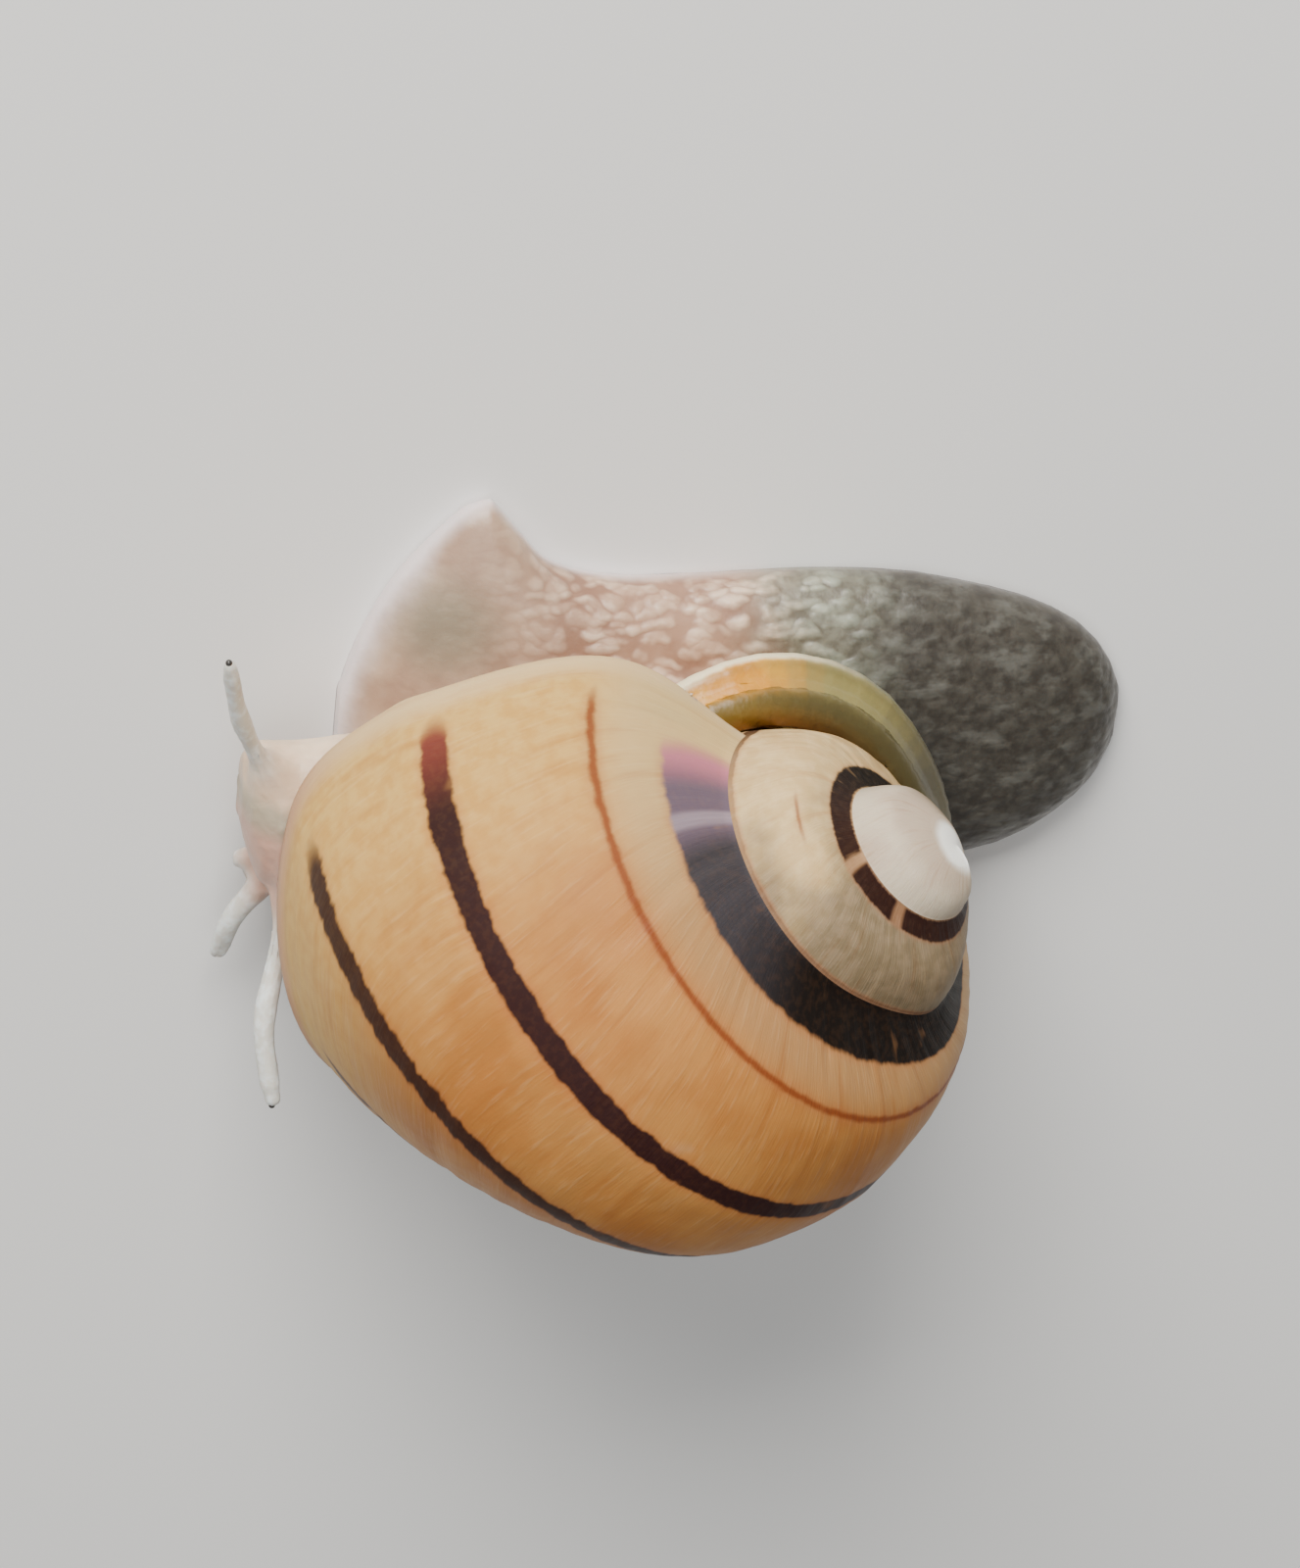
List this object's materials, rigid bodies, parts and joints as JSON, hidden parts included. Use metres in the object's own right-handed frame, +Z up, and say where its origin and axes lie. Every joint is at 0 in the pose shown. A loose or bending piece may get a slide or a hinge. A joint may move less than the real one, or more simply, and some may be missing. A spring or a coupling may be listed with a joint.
{
  "type": "banded land snail",
  "caption": "Life-size model of a crawling land snail, with a striped spiral shell, feelers held out, a mantle edge beside the spire and a broad flat foot that it rests on.",
  "frame": {"origin": "middle of the model's box in plan, on the floor that the sole rests on", "axes": "+Z up, -Y the way the head points, -X the snail's right side"},
  "size_m": [0.018, 0.0272, 0.0163],
  "materials": {
    "shell_horn": "smooth and slightly glossy, honey yellow with dark bands",
    "mantle_cream": "moist, cream to yellow",
    "flesh_pale": "moist, grey-beige, fine grained",
    "flesh_pink": "moist, pinkish brown with pale tubercles",
    "flesh_dark": "moist, dark grey with paler tubercles",
    "feeler_grey": "moist, translucent grey-white",
    "eye_dark": "glossy black"
  },
  "bodies": {
    "root": {"shell": "shell_horn", "mantle_collar": "mantle_cream", "mantle_edge": "mantle_cream", "foot_front": "flesh_pale", "foot_middle": "flesh_pink", "foot_tail": "flesh_dark", "trunk": "flesh_pink", "neck": "flesh_pink", "head": "flesh_pale", "muzzle": "flesh_pale", "tentacle_upper_right": "feeler_grey", "tentacle_upper_left": "feeler_grey", "tentacle_lower_right": "feeler_grey", "tentacle_lower_left": "feeler_grey", "eye_right": "eye_dark", "eye_left": "eye_dark"}
  },
  "joints": []
}
